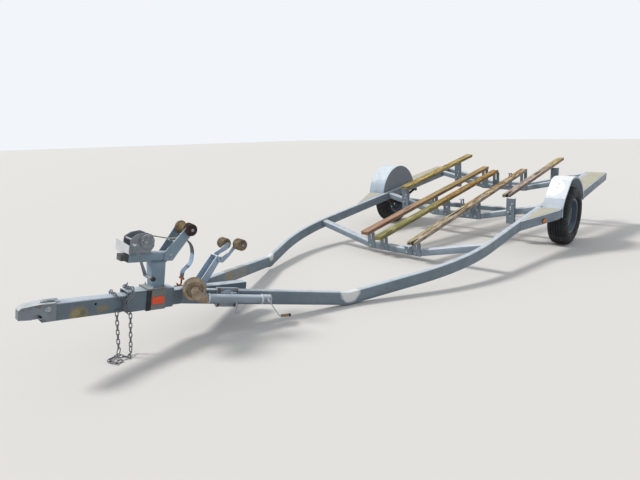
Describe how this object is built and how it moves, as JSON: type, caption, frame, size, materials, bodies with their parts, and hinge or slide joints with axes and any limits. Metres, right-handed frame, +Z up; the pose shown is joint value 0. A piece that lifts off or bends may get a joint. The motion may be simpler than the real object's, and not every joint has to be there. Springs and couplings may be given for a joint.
{
  "type": "boat trailer",
  "caption": "Single-axle bunk boat trailer with a creased frame, a winch stand, a stowed jack and a ball coupler, resting on its tyres and its bent left rail.",
  "frame": {"origin": "on the ground, below the middle of the whole trailer", "axes": "+X forward to the ball coupler, +Y to the trailer's left, +Z up"},
  "size_m": [6.6146, 2.53, 0.9172],
  "materials": {
    "frame_paint": "weathered blue-grey paint",
    "fender_paint": "weathered pale blue-grey paint",
    "galvanised": "dull zinc",
    "dark_steel": "dull, rusty",
    "rim_paint": "weathered grey-blue paint",
    "tyre": "matt",
    "aged_rubber": "chalky yellow-brown",
    "dark_rubber": "matt dark maroon",
    "jack_wheel": "faded tan",
    "black_plastic": "matt",
    "wood_olive": "weathered, mossy",
    "wood_brown": "weathered pinkish brown",
    "wood_grey": "weathered grey-brown",
    "step_pad": "beige, gritty",
    "amber_lens": "moulded lens",
    "red_lens": "moulded lens",
    "reflector": "moulded reflector",
    "webbing": "woven black webbing"
  },
  "bodies": {
    "frame": {"rail_left": "frame_paint", "rail_right": "frame_paint", "cross_member_1": "frame_paint", "cross_member_2": "frame_paint", "cross_member_3": "frame_paint", "cross_member_4": "frame_paint", "bunk_1": "wood_olive", "bunk_2": "wood_brown", "bunk_3": "wood_olive", "bunk_4": "wood_brown", "bunk_5": "wood_grey", "bracket_bolts": "galvanised", "bunk_brackets": "frame_paint", "axle": "frame_paint", "springs": "dark_steel", "fender_left": "fender_paint", "fender_right": "fender_paint", "front_steps": "frame_paint", "step_pads": "step_pad", "rear_steps": "frame_paint", "marker_lamps": "amber_lens", "tail_lamps": "red_lens", "tongue_tube": "frame_paint", "tongue_sleeve": "frame_paint", "coupler": "frame_paint", "coupler_latch": "galvanised", "winch_saddle": "frame_paint", "saddle_band": "black_plastic", "reflectors": "reflector", "winch_post": "frame_paint", "winch_arm": "frame_paint", "arm_plug": "black_plastic", "bow_stop": "frame_paint", "winch_frame": "frame_paint", "winch_drum": "dark_steel", "winch_crank": "galvanised", "crank_grip": "black_plastic", "winch_cover": "galvanised", "winch_strap": "webbing", "strap_hook": "dark_steel", "cradle_stem": "frame_paint", "cradle_arms": "frame_paint", "jack_bracket": "galvanised", "safety_chains": "dark_steel"},
    "wheel_left": {"tyre_left": "tyre", "rim_left": "rim_paint", "hub_left": "dark_steel"},
    "wheel_right": {"tyre_right": "tyre", "rim_right": "rim_paint", "hub_right": "dark_steel"},
    "jack": {"jack_tube": "galvanised", "jack_leg": "galvanised", "jack_crank": "galvanised"},
    "jack_wheel": {"jack_wheel": "jack_wheel"},
    "bow_roller": {"bow_roller": "aged_rubber", "roller_bells": "dark_rubber"},
    "cradle_roller_left": {"cradle_roller_left": "aged_rubber"},
    "cradle_roller_right": {"cradle_roller_right": "aged_rubber"}
  },
  "joints": [
    {"name": "wheel_left_spin", "type": "hinge", "parent": "frame", "child": "wheel_left", "pos_m": [-1.81584, 1.16, 0.325], "axis": [0, 1, 0], "continuous": true},
    {"name": "wheel_right_spin", "type": "hinge", "parent": "frame", "child": "wheel_right", "pos_m": [-1.81584, -1.16, 0.325], "axis": [0, 1, 0], "continuous": true},
    {"name": "jack_swivel", "type": "hinge", "parent": "frame", "child": "jack", "pos_m": [2.11406, 0.1706, 0.21811], "axis": [0.4222, 0.9064, 0.0148], "range_deg": [0, 90]},
    {"name": "jack_wheel_spin", "type": "hinge", "parent": "jack", "child": "jack_wheel", "pos_m": [2.33954, 0.13675, 0.31768], "axis": [0.4222, 0.9064, 0.0148], "continuous": true},
    {"name": "bow_roller_spin", "type": "hinge", "parent": "frame", "child": "bow_roller", "pos_m": [2.31247, 0.03282, 0.70068], "axis": [0.0006, 0.9984, -0.0573], "continuous": true},
    {"name": "cradle_left_spin", "type": "hinge", "parent": "frame", "child": "cradle_roller_left", "pos_m": [1.94625, 0.11965, 0.53416], "axis": [0.0006, 0.9984, -0.0573], "continuous": true},
    {"name": "cradle_right_spin", "type": "hinge", "parent": "frame", "child": "cradle_roller_right", "pos_m": [1.94276, -0.07374, 0.51532], "axis": [0.0006, 0.9984, -0.0573], "continuous": true}
  ]
}
